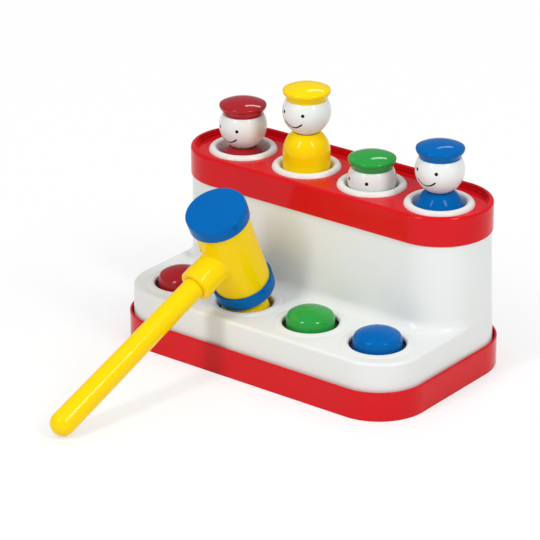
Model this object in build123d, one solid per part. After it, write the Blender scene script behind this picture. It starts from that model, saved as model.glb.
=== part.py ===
from build123d import *
import os
from math import asin, atan2, cos, degrees, radians, sin, sqrt, tan

# Hammer-and-pop-up peg-people toy, millimetres.
# Origin: middle of the tray's underside, on the floor. +X runs along the four columns
# (red, yellow, green, blue), -Y is the side the child sits at, +Z is up.

# ---------------------------------------------------------------- layout of the columns
COLOURS = ("red", "yellow", "green", "blue")
HAMMERED = "yellow"            # the column whose button the hammer rests on
COLUMN_PITCH = 65.0            # from one column to the next
ROW_GAP = 80.0                 # from the button row to the row of peg people
BUTTON_Y = -ROW_GAP / 2
PEG_Y = ROW_GAP / 2
COLUMN_X = {c: (i - (len(COLOURS) - 1) / 2) * COLUMN_PITCH for i, c in enumerate(COLOURS)}
END_COLUMN = max(COLUMN_X.values())

RUNNING = 0.05                 # radial clearance of a shaft in its bore
SLIDING = 0.4                  # radial clearance of a moulded piece in its guide
TOUCH = 0.3                    # gap between pieces that only rest on each other
FIT = 0.1                      # gap between pieces pushed together for good

# ---------------------------------------------------------------- base tray
TRAY_LENGTH = 281.5
TRAY_FRONT = 42.1              # front edge, ahead of the button row
TRAY_BACK = 53.3               # back edge, behind the peg row
TRAY_FRONT_RADIUS = 42.4
TRAY_BACK_RADIUS = 46.0
TRAY_HEIGHT = 23.8
TRAY_FLOOR = 2.5
TRAY_RIM = 1.8                 # thickness of the upstanding rim
TRAY_EDGE = 0.8                # rounding of the rim's outer edge
RIM_GAP = 1.3                  # groove between the rim and the housing
LEDGE_HEIGHT = 6.0             # step the housing's lower edge stands on
LEDGE_SPARE = 1.5              # ledge that shows inside the housing's wall

# ---------------------------------------------------------------- white housing
WALL = 2.5
DECK_HEIGHT = 46.6             # top of the button deck
DECK_EDGE = 2.4                # rounding of the deck's outer edge
DECK_INSET = 0.02              # keeps the deck's ends just inside the tower's ends
FRONT_LEAN = 0.8               # how far the front wall leans back, floor to deck
TOWER_FOOT_FRONT = 45.5        # front wall at the ledge, ahead of the peg row
TOWER_FOOT_RADIUS = 43.0
TOWER_HEAD_RADIUS = 41.4       # half width of the tower under its cap
TOWER_HEAD_FLAT = 0.4          # half of the short flat left between the head's corners
FOOT_BLEND = 9.0               # hollow blend between the deck and the tower
BLEND_STEPS = 8                # steps that shape the blend
HOLE_RADIUS = 22.6             # button holes
HOLE_LIP = 1.6                 # rounding of their edges
RING_RADIUS = 29.4             # raised ring round each button hole
RING_RISE = 0.9
GUIDE_WALL = 1.8               # tube under the deck that guides a plunger
GUIDE_BOTTOM = 30.0

# ---------------------------------------------------------------- red cap
CAP_RADIUS = 42.8
CAP_DECK_HEIGHT = 137.3        # top of the deck the sleeves sit on
CAP_DECK_THICKNESS = 2.6
CAP_RIM_RISE = 4.9             # top of the raised rim above the deck
CAP_SKIRT = 19.5               # lower edge of the cap below its deck
CAP_WALL = 2.2
CAP_RIM = 3.9                  # width of the raised rim
CAP_LEDGE = 1.3                # small step inside the rim
CAP_LEDGE_DROP = 2.9
CAP_EDGE = 2.6                 # rounding of the rim's outer edge
CAP_INNER_EDGE = 1.0
CAP_SKIRT_EDGE = 0.9

# ---------------------------------------------------------------- guide sleeves of the peg people
LIP_RADIUS = 28.1
LIP_HEIGHT = 3.2               # crest of the rolled lip above the cap's deck
LIP_ROUND = 2.6                # rounding of the lip's outer side
MOUTH_RADIUS = 21.7
MOUTH_DROP = 1.5               # from the crest to where the mouth starts to narrow
FUNNEL_DEPTH = 13.0
SLEEVE_WALL = 2.6
SLEEVE_LENGTH = 41.5           # from the cap's deck to the sleeve's lower end
SNAP_BEAD = 0.7                # bead that holds the sleeve under the housing's top
SNAP_BEAD_LENGTH = 2.0

# ---------------------------------------------------------------- peg people
HEAD_RADIUS = 19.6
BODY_RADIUS = 19.3
BODY_WALL = 2.2
HEAD_ABOVE_DECK = 4.9          # head centre above the cap's deck with the peg fully down
PEG_LIFT = {"red": 26.9, "yellow": 42.8, "green": 42.8, "blue": 18.9}
PEG_RAISED = {"red": 15.9, "yellow": 42.8, "green": 0.0, "blue": 23.9}
NECK_RADIUS = 11.1
NECK_DROP = 17.5               # neck plane below the head's centre
SHOULDER_RISE = 17.2           # height of the shoulder, from the straight side to the neck
HEAD_PLUG_RADIUS = 6.0
HEAD_PLUG_LENGTH = 9.0
HAT_SEAT = 10.0                # plane on the head that carries the hat
HAT_BAND_RADIUS = 16.2
HAT_FLARE = 42.0               # slope of the hat's underside, from upright, degrees
HAT_RADIUS = 19.3
HAT_WIDEST = 16.4              # height of the widest circle above the head's centre
HAT_BRIM_ROUND = 2.0           # rounding of the brim's edge
HAT_TOP = 23.2                 # top of the crown above the head's centre
HAT_PLUG_RADIUS = 5.0
HAT_PLUG_LENGTH = 6.0

# ---------------------------------------------------------------- push rods under the peg people
FLANGE_GRIP = 1.4              # how far the rod's flange reaches past the sleeve's bore
FLANGE_THICKNESS = 2.2
ROD_RADIUS = 4.5
ROD_SPIGOT = 7.0               # length of the plug inside the peg's body
ROD_SPIGOT_WALL = 2.0
ROD_FOOT_RADIUS = 9.0
ROD_FOOT_THICKNESS = 2.6
ROD_GAP = 0.9                  # from the lever's pad to a rod that is fully down

# ---------------------------------------------------------------- buttons with their plungers
BUTTON_TRAVEL = 13.0
BUTTON_RADIUS = 19.35
BUTTON_WALL = 2.2
BUTTON_RIM = 4.2               # top of the straight side above the deck, button up
BUTTON_STEP = 0.3              # fine step between the side and the dome
BUTTON_TOP = 13.1              # top of the dome above the deck, button up
BUTTON_SHOULDER = 5.0          # rounding of the dome's shoulder
HAMMERED_PRESS = 6.8           # how far the resting hammer holds its button down
PLUNGER_FLANGE = 2.0
PLUNGER_GRIP = 1.8             # how far the flange reaches past the hole's edge
STEM_RADIUS = 4.0

# ---------------------------------------------------------------- levers and their shaft
SHAFT_RADIUS = 3.0
SHAFT_HEIGHT = 20.0
SHAFT_OVERHANG = 4.0           # shaft end past the outermost bracket
HUB_RADIUS = 6.5
HUB_WIDTH = 16.0
ARM_WIDTH = 9.0
ARM_ROOT = 9.0                 # depth of the lever's arms at the hub
ARM_TIP = 4.0                  # and at their pads
PAD_RADIUS = 4.0
LEVER_CRANK = 8.2              # rise of the rear arm at mid travel, degrees
BRACKET_THICKNESS = 4.0
BRACKET_WIDTH = 13.0
BRACKET_THROAT = 5.2           # snap-in mouth of a bracket, narrower than the shaft
BRACKET_HORN = 2.6             # height of the bracket's horns above the shaft's axis

# ---------------------------------------------------------------- screws of the base
SCREW_X = (-COLUMN_PITCH, 0.0, COLUMN_PITCH)
SCREW_INSET = 12.0             # from the housing's outer wall to a screw
SCREW_BOSS_RADIUS = 4.5
SCREW_RIB = 2.0                # low rib that ties a boss to the wall
SCREW_RIB_HEIGHT = 14.0
SCREW_RADIUS = 1.5
SCREW_LENGTH = 16.0
SCREW_HEAD_RADIUS = 3.6
SCREW_HEAD_HEIGHT = 1.9
SCREW_SINK = 0.6               # from the tray's underside to the screw's head
SCREW_SLOT = 0.8
SCREW_SLOT_DEPTH = 0.7

# ---------------------------------------------------------------- hammer
HAMMER_ASIDE = -0.1            # middle of the resting head, along X from the button under it
HAMMER_AHEAD = 18.1            # and ahead of that button
HAMMER_RISE = 51.0             # and above the deck
HAMMER_TILT = 25.5             # handle's slope down to the floor, degrees
HAMMER_YAW = -5.9
HAMMER_ROLL = 3.5
BARREL_RADIUS = 22.8
HAMMER_CAP_RADIUS = 24.8
HAMMER_HALF_LENGTH = 44.6
HAMMER_CAP_HEIGHT = 12.1
HAMMER_CAP_EDGE = 1.7
HAMMER_CAP_FACE = 3.0          # thickness of the striking face
SOCKET_RADIUS = 13.7
SOCKET_REACH = 44.6            # mouth of the socket, from the barrel's axis
SOCKET_EDGE = 1.5
HANDLE_RADIUS = 8.9            # at the socket
HANDLE_END_RADIUS = 10.1
HANDLE_REACH = 201.3           # centre of the rounded end, from the barrel's axis
HANDLE_DEPTH = 24.0            # length held inside the socket

# ---------------------------------------------------------------- worked out from the sizes above
TRAY_Y0 = BUTTON_Y - TRAY_FRONT
TRAY_Y1 = PEG_Y + TRAY_BACK
HOUSING_INSET = TRAY_RIM + RIM_GAP
FOOT_HALF = TRAY_LENGTH / 2 - HOUSING_INSET
FOOT_Y0 = TRAY_Y0 + HOUSING_INSET
FOOT_Y1 = TRAY_Y1 - HOUSING_INSET
DECK_RADIUS = TRAY_FRONT_RADIUS - HOUSING_INSET
DECK_UNDERSIDE = DECK_HEIGHT - WALL
CAP_TOP = CAP_DECK_HEIGHT + CAP_RIM_RISE
CAP_BOTTOM = CAP_DECK_HEIGHT - CAP_SKIRT
NECK_RADIUS_TOP = CAP_RADIUS - CAP_WALL - TOUCH
NECK_HEIGHT = CAP_DECK_HEIGHT - CAP_DECK_THICKNESS
SLEEVE_BORE = BODY_RADIUS + SLIDING
SLEEVE_RADIUS = SLEEVE_BORE + SLEEVE_WALL
SLEEVE_BOTTOM = CAP_DECK_HEIGHT - SLEEVE_LENGTH
HEAD_LOW = CAP_DECK_HEIGHT + HEAD_ABOVE_DECK
BODY_DROP = HEAD_ABOVE_DECK + max(PEG_LIFT.values()) + SLEEVE_LENGTH + TOUCH
FRONT_ARM = ROW_GAP / (1 + max(PEG_LIFT.values()) / BUTTON_TRAVEL)
PIVOT_Y = BUTTON_Y + FRONT_ARM
HALF_SWING = degrees(asin(BUTTON_TRAVEL / 2 / FRONT_ARM))
REAR_ARM = (ROW_GAP - FRONT_ARM) / cos(radians(LEVER_CRANK))
PAD_TOP = SHAFT_HEIGHT + REAR_ARM * sin(radians(LEVER_CRANK - HALF_SWING)) + PAD_RADIUS
STEM_BOTTOM = SHAFT_HEIGHT + BUTTON_TRAVEL / 2 + PAD_RADIUS + TOUCH
PLUNGER_TOP = DECK_UNDERSIDE - TOUCH
PLUNGER_RADIUS = HOLE_RADIUS + PLUNGER_GRIP
GUIDE_RADIUS = PLUNGER_RADIUS + SLIDING
SCREW_TOP = SCREW_SINK + SCREW_HEAD_HEIGHT
HAMMER_CENTRE = (COLUMN_X[HAMMERED] + HAMMER_ASIDE, BUTTON_Y - HAMMER_AHEAD,
                 DECK_HEIGHT + HAMMER_RISE)


def at(x=0.0, y=0.0, z=0.0):
    """Place something by a plain shift."""
    return Location((x, y, z))


def drum(radius, bottom, top):
    """Upright solid cylinder between two heights."""
    return extrude(at(z=bottom) * Circle(radius), top - bottom)


def tube(outer, inner, bottom, top):
    return drum(outer, bottom, top) - drum(inner, bottom, top)


def axle(radius, length):
    """Solid cylinder that lies along X, about its middle."""
    return Rot(0, 90, 0) * Cylinder(radius, length)


def outline(*edges):
    """Face inside a closed outline, drawn as (radius, height)."""
    return make_face(Curve() + list(edges))


def turned(face):
    """Solid of revolution about Z of a face that is drawn as (radius, height)."""
    return revolve(Plane.XZ * face, axis=Axis.Z)


def washer(inner, outer, bottom, top):
    """Section of a ring, to be turned."""
    return at((inner + outer) / 2, (bottom + top) / 2) * Rectangle(outer - inner, top - bottom)


def crown(radius, base, top, shoulder):
    """Two tangent arcs that lead from an upright side at (radius, base) over to (0, top)."""
    rise, reach = top - base, radius - shoulder
    big = (reach ** 2 + rise ** 2 - shoulder ** 2) / (2 * (rise - shoulder))
    lean = atan2(reach, big - rise)
    joint = (reach + shoulder * sin(lean), base + shoulder * cos(lean))
    return [TangentArc((radius, base), joint, tangent=(0, 1)),
            TangentArc(joint, (0, top), tangent=(-cos(lean), sin(lean)))]


def plan(half, y0, y1, front, back, z):
    """Outline seen from above, with its own front and back corner radii, at height z."""
    shape = at(y=(y0 + y1) / 2, z=z) * Rectangle(2 * half, y1 - y0)
    shape = fillet(shape.vertices().group_by(Axis.Y)[0], front)
    return fillet(shape.vertices().group_by(Axis.Y)[-1], back)


def slot(radius, bottom, top):
    """Slot-shaped block round the two end pegs."""
    shape = at(y=PEG_Y, z=bottom) * SlotCenterToCenter(2 * END_COLUMN, 2 * radius)
    return extrude(shape, top - bottom)


# ---------------------------------------------------------------- tray
def tray_block(inset, bottom):
    """Tray-shaped block, smaller by inset all round, from a height up to the tray's edge."""
    shape = plan(TRAY_LENGTH / 2 - inset, TRAY_Y0 + inset, TRAY_Y1 - inset,
                 TRAY_FRONT_RADIUS - inset, TRAY_BACK_RADIUS - inset, bottom)
    return extrude(shape, TRAY_HEIGHT - bottom)


def screw_places():
    """Where the screws stand, with the direction of the wall nearest to each."""
    front = [(at(x, FOOT_Y0 + SCREW_INSET), -1) for x in SCREW_X]
    return front + [(at(x, FOOT_Y1 - SCREW_INSET), 1) for x in SCREW_X]


def shaft_bracket():
    """Snap-in bracket: an upright rib with a round seat and a narrower mouth."""
    height = SHAFT_HEIGHT + BRACKET_HORN - TRAY_FLOOR
    rib = at(z=TRAY_FLOOR + height / 2) * Box(BRACKET_THICKNESS, BRACKET_WIDTH, height)
    seat = axle(SHAFT_RADIUS + RUNNING, 2 * BRACKET_THICKNESS)
    mouth = at(z=SHAFT_RADIUS) * Box(2 * BRACKET_THICKNESS, BRACKET_THROAT, 2 * SHAFT_RADIUS)
    return rib - at(z=SHAFT_HEIGHT) * (seat + mouth)


def bracket_places():
    reach = HUB_WIDTH / 2 + TOUCH + BRACKET_THICKNESS / 2
    return [x + side * reach for x in COLUMN_X.values() for side in (-1, 1)]


def base_tray():
    tray = tray_block(0, 0)
    tray = fillet(tray.faces().sort_by(Axis.Z)[-1].edges(), TRAY_EDGE)
    tray -= tray_block(TRAY_RIM, LEDGE_HEIGHT)
    tray -= tray_block(HOUSING_INSET + WALL + LEDGE_SPARE, TRAY_FLOOR)
    bracket = shaft_bracket()
    for x in bracket_places():
        tray += at(x, PIVOT_Y) * bracket
    pillar = drum(2 * SCREW_HEAD_RADIUS, 0, LEDGE_HEIGHT)
    hole = drum(SCREW_RADIUS + TOUCH, 0, LEDGE_HEIGHT)
    sink = drum(SCREW_HEAD_RADIUS + TOUCH, 0, SCREW_TOP)
    for place, _ in screw_places():
        tray += place * pillar
        tray -= place * (hole + sink)
    return tray


# ---------------------------------------------------------------- housing
def tower_plan(z, inset=0.0, step=0.0):
    """Section of the tower at height z, its front wall moved out by step for the blend."""
    share = (z - LEDGE_HEIGHT) / (CAP_BOTTOM - LEDGE_HEIGHT)

    def between(foot, head):
        return foot + (head - foot) * share

    half = between(FOOT_HALF, END_COLUMN + TOWER_HEAD_RADIUS)
    front = between(PEG_Y - TOWER_FOOT_FRONT, PEG_Y - TOWER_HEAD_RADIUS)
    back = between(FOOT_Y1, PEG_Y + TOWER_HEAD_RADIUS)
    radius = between(TOWER_FOOT_RADIUS, TOWER_HEAD_RADIUS - TOWER_HEAD_FLAT)
    return plan(half - inset, front + inset - step, back - inset,
                radius - inset, radius - inset, z)


def tower():
    """Tower from the ledge up to the cap, with the hollow blend that springs from the deck."""
    blend_top = DECK_HEIGHT + FOOT_BLEND
    sections = [tower_plan(LEDGE_HEIGHT, step=FOOT_BLEND)]
    for i in range(BLEND_STEPS + 1):
        turn = radians(90 * i / BLEND_STEPS)
        step = FOOT_BLEND * (1 - sin(turn))
        sections.append(tower_plan(blend_top - FOOT_BLEND * cos(turn), step=step))
    sections.append(tower_plan(CAP_BOTTOM))
    return loft(sections, ruled=True)


def deck_block(inset, top):
    """Block under the button deck; its back corners lie inside the tower."""
    sections = []
    for z, lean in ((LEDGE_HEIGHT, 0), (top, FRONT_LEAN)):
        half = FOOT_HALF - DECK_INSET - inset
        radius = DECK_RADIUS - inset
        sections.append(plan(half, FOOT_Y0 + lean + inset, PEG_Y + DECK_RADIUS, radius, radius, z))
    return loft(sections)


def deck_ring():
    """Raised ring of a button hole, with a rounded inner lip and a soft outer slope."""
    top = DECK_HEIGHT + RING_RISE
    crest = HOLE_RADIUS + HOLE_LIP
    return turned(outline(
        Polyline((crest, DECK_UNDERSIDE), (HOLE_RADIUS, DECK_UNDERSIDE),
                 (HOLE_RADIUS, top - HOLE_LIP)),
        TangentArc((HOLE_RADIUS, top - HOLE_LIP), (crest, top), tangent=(0, 1)),
        TangentArc((crest, top), (RING_RADIUS, DECK_HEIGHT), tangent=(1, 0)),
        Polyline((RING_RADIUS, DECK_HEIGHT), (RING_RADIUS, DECK_UNDERSIDE),
                 (crest, DECK_UNDERSIDE))))


def screw_boss(side):
    """Boss for a screw, tied by a rib to the wall on the given side."""
    rib = at(y=side * SCREW_INSET / 2, z=LEDGE_HEIGHT + SCREW_RIB_HEIGHT / 2) * Box(
        SCREW_RIB, SCREW_INSET - WALL, SCREW_RIB_HEIGHT)
    return drum(SCREW_BOSS_RADIUS, LEDGE_HEIGHT, DECK_UNDERSIDE) + rib


def housing():
    deck = deck_block(0, DECK_HEIGHT)
    deck = fillet(deck.faces().sort_by(Axis.Z)[-1].edges(), DECK_EDGE)
    shell = deck + tower() + slot(NECK_RADIUS_TOP, CAP_BOTTOM, NECK_HEIGHT)
    shell -= deck_block(WALL, DECK_UNDERSIDE)
    shell -= loft([tower_plan(LEDGE_HEIGHT, WALL), tower_plan(CAP_BOTTOM, WALL)])
    shell -= slot(NECK_RADIUS_TOP - WALL, CAP_BOTTOM, NECK_HEIGHT - WALL)
    collar = deck_ring()
    guide = tube(GUIDE_RADIUS + GUIDE_WALL, GUIDE_RADIUS, GUIDE_BOTTOM, DECK_UNDERSIDE)
    hole = drum(HOLE_RADIUS, DECK_UNDERSIDE, DECK_HEIGHT)
    sleeve_hole = drum(SLEEVE_RADIUS + FIT, CAP_BOTTOM, NECK_HEIGHT)
    for x in COLUMN_X.values():
        shell = shell - at(x, BUTTON_Y) * hole + at(x, BUTTON_Y) * collar
        shell = shell + at(x, BUTTON_Y) * guide - at(x, PEG_Y) * sleeve_hole
    pilot = drum(SCREW_RADIUS, LEDGE_HEIGHT, SCREW_TOP + SCREW_LENGTH)
    for place, side in screw_places():
        shell = shell + place * screw_boss(side) - place * pilot
    return shell


# ---------------------------------------------------------------- cap and sleeves
def top_cap():
    cap = slot(CAP_RADIUS, CAP_BOTTOM, CAP_TOP)
    cap = fillet(cap.faces().sort_by(Axis.Z)[-1].edges(), CAP_EDGE)
    cap = fillet(cap.faces().sort_by(Axis.Z)[0].edges(), CAP_SKIRT_EDGE)
    cap -= slot(CAP_RADIUS - CAP_RIM, CAP_TOP - CAP_LEDGE_DROP, CAP_TOP)
    cap = fillet(cap.faces().sort_by(Axis.Z)[-1].inner_wires()[0].edges(), CAP_INNER_EDGE)
    cap -= slot(CAP_RADIUS - CAP_RIM - CAP_LEDGE, CAP_DECK_HEIGHT, CAP_TOP)
    cap -= slot(CAP_RADIUS - CAP_WALL, CAP_BOTTOM, NECK_HEIGHT)
    for x in COLUMN_X.values():
        cap -= at(x, PEG_Y) * drum(SLEEVE_RADIUS + FIT, NECK_HEIGHT, CAP_DECK_HEIGHT)
    return cap


def guide_sleeve():
    """Collar of a peg: rolled lip on the cap, funnel, guide bore and snap-in bead."""
    deck, crest = CAP_DECK_HEIGHT, CAP_DECK_HEIGHT + LIP_HEIGHT
    middle = (LIP_RADIUS - LIP_ROUND + MOUTH_RADIUS + MOUTH_DROP) / 2
    bead = NECK_HEIGHT - WALL
    return turned(outline(
        Line((SLEEVE_RADIUS, deck), (LIP_RADIUS, deck)),
        ThreePointArc((LIP_RADIUS, deck), (LIP_RADIUS - LIP_ROUND / 3, deck + LIP_HEIGHT * 2 / 3),
                      (middle, crest)),
        TangentArc((middle, crest), (MOUTH_RADIUS, crest - MOUTH_DROP), tangent=(-1, 0)),
        Polyline((MOUTH_RADIUS, crest - MOUTH_DROP), (SLEEVE_BORE, deck - FUNNEL_DEPTH),
                 (SLEEVE_BORE, SLEEVE_BOTTOM), (SLEEVE_RADIUS, SLEEVE_BOTTOM),
                 (SLEEVE_RADIUS, bead - SNAP_BEAD_LENGTH),
                 (SLEEVE_RADIUS + SNAP_BEAD, bead - SNAP_BEAD), (SLEEVE_RADIUS + SNAP_BEAD, bead),
                 (SLEEVE_RADIUS, bead), (SLEEVE_RADIUS, deck))))


# ---------------------------------------------------------------- peg people, from the head's centre
def shoulder(inset):
    """Section of the neck, the shoulder and the side, moved inwards by inset, to the axis."""
    width = BODY_RADIUS - NECK_RADIUS
    bend = (width ** 2 + SHOULDER_RISE ** 2) / (2 * width) - inset
    side, base, top = BODY_RADIUS - inset, -NECK_DROP - SHOULDER_RISE, -NECK_DROP - inset
    neck = side - bend + sqrt(bend ** 2 - (top - base) ** 2)
    return outline(TangentArc((side, base), (neck, top), tangent=(0, 1)),
                   Polyline((neck, top), (0, top), (0, -BODY_DROP), (side, -BODY_DROP),
                            (side, base)))


def peg_body():
    """Hollow body, open at the bottom, with a dish and a socket for the head on top."""
    socket = HEAD_PLUG_RADIUS + FIT
    plug_end = -NECK_DROP - HEAD_PLUG_LENGTH
    section = shoulder(0) - shoulder(BODY_WALL)
    section += washer(socket, socket + BODY_WALL, plug_end, -NECK_DROP)
    section -= washer(0, socket, plug_end, -NECK_DROP)
    return turned(section - Circle(HEAD_RADIUS + FIT))


def peg_head():
    head = Sphere(HEAD_RADIUS) + drum(HEAD_PLUG_RADIUS, -NECK_DROP - HEAD_PLUG_LENGTH, 0)
    head -= drum(HEAD_RADIUS, HAT_SEAT, HEAD_RADIUS)
    return head - drum(HAT_PLUG_RADIUS + FIT, HAT_SEAT - HAT_PLUG_LENGTH - TOUCH, HAT_SEAT)


def peg_hat():
    """Flat-topped cap: narrow band, flared underside, rounded brim and low crown."""
    flare = radians(HAT_FLARE)
    brim_low = (HAT_RADIUS - HAT_BRIM_ROUND * (1 - cos(flare)),
                HAT_WIDEST - HAT_BRIM_ROUND * sin(flare))
    band_top = brim_low[1] - (brim_low[0] - HAT_BAND_RADIUS) / tan(flare)
    section = outline(
        Polyline((0, HAT_TOP), (0, HAT_SEAT), (HAT_BAND_RADIUS, HAT_SEAT),
                 (HAT_BAND_RADIUS, band_top), brim_low),
        TangentArc((HAT_RADIUS, HAT_WIDEST), brim_low, tangent=(0, -1)),
        *crown(HAT_RADIUS, HAT_WIDEST, HAT_TOP, HAT_BRIM_ROUND))
    return turned(section + washer(0, HAT_PLUG_RADIUS, HAT_SEAT - HAT_PLUG_LENGTH, HAT_SEAT))


def push_rod():
    """Closes the body from below, stops the peg under its sleeve and reaches to the lever."""
    foot = PAD_TOP + ROD_GAP - HEAD_LOW
    flange = -BODY_DROP - FLANGE_THICKNESS
    spigot = BODY_RADIUS - BODY_WALL - FIT
    section = washer(0, SLEEVE_BORE + FLANGE_GRIP, flange, -BODY_DROP)
    section += washer(spigot - ROD_SPIGOT_WALL, spigot, -BODY_DROP, -BODY_DROP + ROD_SPIGOT)
    section += washer(0, ROD_RADIUS, foot, flange)
    section += outline(Polyline(
        (0, foot), (ROD_FOOT_RADIUS, foot), (ROD_FOOT_RADIUS, foot + ROD_FOOT_THICKNESS),
        (ROD_RADIUS, foot + 2 * ROD_FOOT_THICKNESS), (0, foot + 2 * ROD_FOOT_THICKNESS), (0, foot)))
    return turned(section)


# ---------------------------------------------------------------- buttons
def button_dome(inset):
    """Section under the dome's surface, moved inwards by inset, down to the plunger's flange."""
    radius, rim = BUTTON_RADIUS - BUTTON_STEP - inset, DECK_HEIGHT + BUTTON_RIM
    top, bottom = DECK_HEIGHT + BUTTON_TOP - inset, PLUNGER_TOP - PLUNGER_FLANGE
    return outline(*crown(radius, rim, top, BUTTON_SHOULDER - inset),
                   Polyline((0, top), (0, bottom), (radius, bottom), (radius, rim)))


def button():
    """Domed cap over a flanged plunger cup; its stem reaches down to the lever."""
    bottom = PLUNGER_TOP - PLUNGER_FLANGE
    section = button_dome(0) - button_dome(BUTTON_WALL)
    inner = BUTTON_RADIUS - BUTTON_STEP - BUTTON_WALL
    section += washer(inner, BUTTON_RADIUS, bottom, DECK_HEIGHT + BUTTON_RIM)
    section += washer(inner, PLUNGER_RADIUS, bottom, PLUNGER_TOP)
    section += washer(0, STEM_RADIUS, STEM_BOTTOM, DECK_HEIGHT + BUTTON_TOP - BUTTON_WALL)
    return turned(section)


# ---------------------------------------------------------------- levers, about the shaft's axis
def lever_arm(reach, rise):
    """Tapered arm in the YZ plane from the hub out to a pad, tilted up by rise degrees."""
    root, tip = ARM_ROOT / 2, ARM_TIP / 2
    side = make_face(Polyline((0, -root), (reach, -tip), (reach, tip), (0, root), (0, -root)))
    blade = extrude(Plane.YZ * side, ARM_WIDTH / 2, both=True)
    return Rot(rise, 0, 0) * (blade + at(y=reach) * axle(PAD_RADIUS, ARM_WIDTH))


def lever():
    """Rocker at mid travel: short front arm under a stem, cranked rear arm under a rod."""
    rocker = axle(HUB_RADIUS, HUB_WIDTH)
    rocker += lever_arm(-FRONT_ARM, 0) + lever_arm(REAR_ARM, LEVER_CRANK)
    return rocker - axle(SHAFT_RADIUS + RUNNING, HUB_WIDTH)


def lever_shaft():
    length = 2 * (max(bracket_places()) + BRACKET_THICKNESS / 2 + SHAFT_OVERHANG)
    return at(0, PIVOT_Y, SHAFT_HEIGHT) * axle(SHAFT_RADIUS, length)


def base_screw():
    screw = drum(SCREW_HEAD_RADIUS, SCREW_SINK, SCREW_TOP)
    screw += drum(SCREW_RADIUS, SCREW_TOP, SCREW_TOP + SCREW_LENGTH)
    slot_z = SCREW_SINK + SCREW_SLOT_DEPTH / 2
    return screw - at(z=slot_z) * Box(2 * SCREW_HEAD_RADIUS, SCREW_SLOT, SCREW_SLOT_DEPTH)


# ---------------------------------------------------------------- hammer, handle along -Y from the head
def hammer_head():
    """Barrel with the socket that takes the handle."""
    half = HAMMER_HALF_LENGTH - HAMMER_CAP_FACE
    socket = Plane.XZ * extrude(Circle(SOCKET_RADIUS), SOCKET_REACH)
    socket = fillet(socket.faces().sort_by(Axis.Y)[0].edges(), SOCKET_EDGE)
    head = drum(BARREL_RADIUS, -half, half) + socket
    bore = Plane.XZ * extrude(Circle(HANDLE_RADIUS + FIT), SOCKET_REACH)
    return head - at(y=HANDLE_DEPTH - SOCKET_REACH) * bore


def hammer_cap():
    """Striking cap pushed over one end of the barrel."""
    bottom = HAMMER_HALF_LENGTH - HAMMER_CAP_HEIGHT
    cap = drum(HAMMER_CAP_RADIUS, bottom, HAMMER_HALF_LENGTH)
    cap = fillet(cap.edges(), HAMMER_CAP_EDGE)
    return cap - drum(BARREL_RADIUS + FIT, bottom, HAMMER_HALF_LENGTH - HAMMER_CAP_FACE)


def hammer_handle():
    """Straight tenon in the socket, then a grip that swells towards its rounded end."""
    start, end = SOCKET_REACH - HANDLE_DEPTH + FIT, HANDLE_REACH + HANDLE_END_RADIUS
    grip = turned(outline(
        Polyline((0, end), (0, start), (HANDLE_RADIUS, start), (HANDLE_RADIUS, SOCKET_REACH),
                 (HANDLE_END_RADIUS, HANDLE_REACH)),
        TangentArc((HANDLE_END_RADIUS, HANDLE_REACH), (0, end), tangent=(0, 1))))
    return Rot(90, 0, 0) * grip


# ---------------------------------------------------------------- everything in its place
def parts():
    """Every node, by name, where it stands with the hammer on the yellow button."""
    nodes = {"base_tray": base_tray(), "housing": housing(), "top_cap": top_cap(),
             "lever_shaft": lever_shaft(),
             "base_screws": Compound([place * base_screw() for place, _ in screw_places()])}
    for colour, x in COLUMN_X.items():
        pressed = HAMMERED_PRESS if colour == HAMMERED else 0.0
        swing = HALF_SWING * (2 * pressed / BUTTON_TRAVEL - 1)
        peg = at(x, PEG_Y, HEAD_LOW + PEG_RAISED[colour])
        nodes[f"guide_sleeve_{colour}"] = at(x, PEG_Y) * guide_sleeve()
        nodes[f"button_{colour}"] = at(x, BUTTON_Y, -pressed) * button()
        nodes[f"lever_{colour}"] = at(x, PIVOT_Y, SHAFT_HEIGHT) * Rot(swing, 0, 0) * lever()
        nodes[f"push_rod_{colour}"] = peg * push_rod()
        nodes[f"body_{colour}"] = peg * peg_body()
        nodes[f"head_{colour}"] = peg * peg_head()
        nodes[f"hat_{colour}"] = peg * peg_hat()
    rest = at(*HAMMER_CENTRE) * Rot(0, 0, HAMMER_YAW) * Rot(HAMMER_TILT, 0, 0)
    hammer = rest * Rot(0, HAMMER_ROLL, 0)
    nodes["hammer_head"] = hammer * hammer_head()
    nodes["hammer_handle"] = hammer * hammer_handle()
    nodes["hammer_cap_upper"] = hammer * hammer_cap()
    nodes["hammer_cap_lower"] = hammer * Rot(180, 0, 0) * hammer_cap()
    return nodes


if __name__ == "__main__":
    os.makedirs("parts", exist_ok=True)
    for name, shape in parts().items():
        export_step(shape, f"parts/{name}.step")
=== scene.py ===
"""Dresses the hammer-and-pop-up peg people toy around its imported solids.

Sizes are in millimetres, in the frame of the solids: the origin is the middle of the tray's
underside, +X runs along the four columns and -Y is the side the child sits at. MM turns a size
into metres where a mesh is made.
"""
from __future__ import annotations

import logging
import math
from dataclasses import dataclass
from enum import Enum
from typing import Any, Callable

import bmesh
import bpy
from mathutils import Matrix, Vector

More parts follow.
